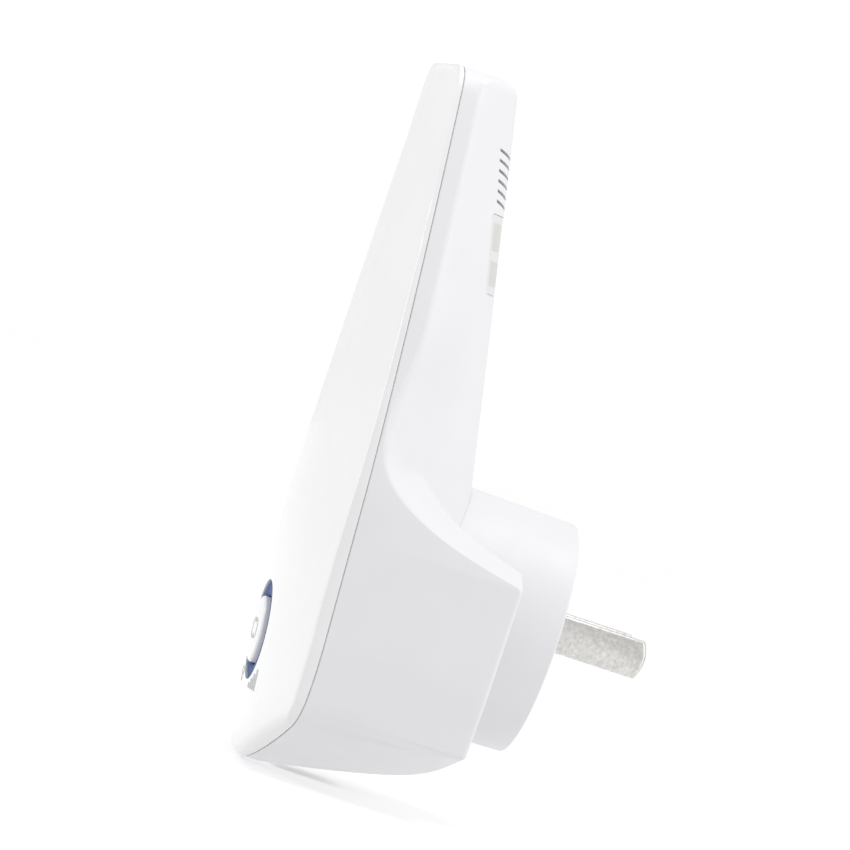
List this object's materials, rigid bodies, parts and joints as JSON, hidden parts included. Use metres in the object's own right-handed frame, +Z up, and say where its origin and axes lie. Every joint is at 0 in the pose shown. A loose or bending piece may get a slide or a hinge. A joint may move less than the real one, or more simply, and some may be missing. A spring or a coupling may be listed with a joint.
{
  "type": "wifi range extender",
  "caption": "Slim plug-in wifi range extender with a domed gloss front, lit ring round a pairing button, flat plug pins and vented back.",
  "frame": {"origin": "midway between the two plug pins, on the flat rear face of the plug housing", "axes": "+Y out of the plug face along the pins, +Z up along the body's length, front faces -Y"},
  "size_m": [0.065, 0.0606, 0.114],
  "materials": {
    "cover_gloss": "gloss",
    "cover_satin": "satin",
    "pin_nickel": "satin",
    "ring_blue": "gloss",
    "button_white": "gloss",
    "label_grey": "matte",
    "board_green": "satin",
    "tin_plate": "satin",
    "chip_black": "matte",
    "copper_strip": "satin",
    "switch_white": "satin",
    "sleeve_yellow": "satin",
    "sheet_amber": "satin",
    "screw_steel": "satin"
  },
  "bodies": {
    "case": {"front_cover": "cover_gloss", "rear_cover": "cover_satin", "plug_housing": "cover_satin", "pin_left": "pin_nickel", "pin_right": "pin_nickel", "light_ring": "ring_blue", "rating_label": "label_grey", "main_board": "board_green", "power_board": "board_green", "shield_can": "tin_plate", "crystal": "tin_plate", "network_jack": "tin_plate", "radio_chip": "chip_black", "processor_chip": "chip_black", "memory_chip": "chip_black", "flash_chip": "chip_black", "network_transformer": "chip_black", "pairing_switch": "chip_black", "reset_switch": "chip_black", "mains_capacitor_upper": "chip_black", "mains_capacitor_lower": "chip_black", "output_capacitor": "chip_black", "bridge_rectifier": "chip_black", "link_header": "chip_black", "antenna_left": "copper_strip", "antenna_right": "copper_strip", "jack_contacts": "copper_strip", "pin_contact_left": "copper_strip", "pin_contact_right": "copper_strip", "choke": "copper_strip", "status_light_left": "switch_white", "status_light_right": "switch_white", "transformer_core": "sleeve_yellow", "fuse": "sleeve_yellow", "insulation_sheet": "sheet_amber", "housing_screw_left": "screw_steel", "housing_screw_right": "screw_steel", "board_screw_left": "screw_steel", "board_screw_right": "screw_steel", "board_screw_top": "screw_steel"},
    "pairing_button": {"pairing_button": "button_white"},
    "switch_plunger": {"pairing_switch_plunger": "switch_white"},
    "reset_plunger": {"reset_plunger": "switch_white"}
  },
  "joints": [
    {"name": "pairing_button_press", "type": "slide", "parent": "case", "child": "pairing_button", "axis": [0, 1, 0], "range_m": [0, 0.0005], "stiffness_N_per_m": 900, "springref_m": -0.0005},
    {"name": "switch_plunger_press", "type": "slide", "parent": "case", "child": "switch_plunger", "axis": [0, 1, 0], "range_m": [0, 0.0005]},
    {"name": "reset_press", "type": "slide", "parent": "case", "child": "reset_plunger", "axis": [0, 0, 1], "range_m": [0, 0.0003], "stiffness_N_per_m": 600, "springref_m": -0.0005}
  ],
  "couplings": [
    {"joint": "switch_plunger_press", "follows": "pairing_button_press", "ratio": 1}
  ]
}
